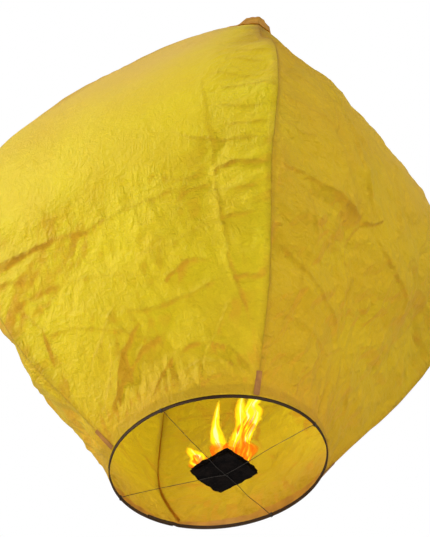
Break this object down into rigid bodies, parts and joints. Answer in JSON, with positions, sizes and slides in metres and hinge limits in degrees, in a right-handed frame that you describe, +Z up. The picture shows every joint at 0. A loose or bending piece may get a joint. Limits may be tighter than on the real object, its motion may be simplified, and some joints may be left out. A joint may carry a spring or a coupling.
{
  "type": "sky lantern",
  "caption": "Square-bellied paper sky lantern with ridge seams, a bamboo hoop, crossed wires and a charred fuel pad",
  "frame": {"origin": "centre of the hoop's underside, which is the plane that the lantern stands on", "axes": "+Z up through the mouth, -Y the front gore, +X the side that the envelope leans to"},
  "size_m": [0.7035, 0.7094, 0.9256],
  "materials": {
    "envelope_paper": "thin crumpled yellow tissue, light shows through it",
    "glued_paper": "doubled tissue darkened by glue",
    "bamboo": "thin split bamboo, browned",
    "wire": "thin iron wire, dulled by heat",
    "fuel_board": "charred waxed board"
  },
  "bodies": {
    "hoop": {"hoop": "bamboo", "hoop_rivet_1": "wire", "hoop_rivet_2": "wire", "hem_front": "glued_paper", "hem_right": "glued_paper", "hem_back": "glued_paper", "hem_left": "glued_paper", "foot_tab_front_right": "glued_paper", "foot_tab_back_right": "glued_paper", "foot_tab_back_left": "glued_paper", "foot_tab_front_left": "glued_paper", "wire_side": "wire", "wire_cross": "wire", "wire_tie": "wire"},
    "fuel_cell": {"fuel_layer_lower": "fuel_board", "fuel_layer_middle": "fuel_board", "fuel_layer_upper": "fuel_board"},
    "envelope": {"gore_front": "envelope_paper", "gore_right": "envelope_paper", "gore_back": "envelope_paper", "gore_left": "envelope_paper", "seam_front_right": "glued_paper", "seam_back_right": "glued_paper", "seam_back_left": "glued_paper", "seam_front_left": "glued_paper"},
    "crown": {"crown_patch": "glued_paper", "crown_tip": "glued_paper"}
  },
  "joints": [
    {"name": "fuel_lift", "type": "slide", "parent": "hoop", "child": "fuel_cell", "axis": [0, 0, 1], "range_m": [0, 0.05]},
    {"name": "envelope_lean", "type": "hinge", "parent": "hoop", "child": "envelope", "pos_m": [0, 0, 0.02], "axis": [0, 1, 0], "range_deg": [-24, 4], "stiffness_Nm_per_rad": 8, "deforming": ["gore_front", "gore_right", "gore_back", "gore_left", "seam_front_right", "seam_back_right", "seam_back_left", "seam_front_left"]},
    {"name": "crown_drop", "type": "slide", "parent": "envelope", "child": "crown", "axis": [0.1623, 0, 0.9867], "range_m": [-0.5, 0], "stiffness_N_per_m": 4, "deforming": ["gore_front", "gore_right", "gore_back", "gore_left", "seam_front_right", "seam_back_right", "seam_back_left", "seam_front_left"]}
  ]
}
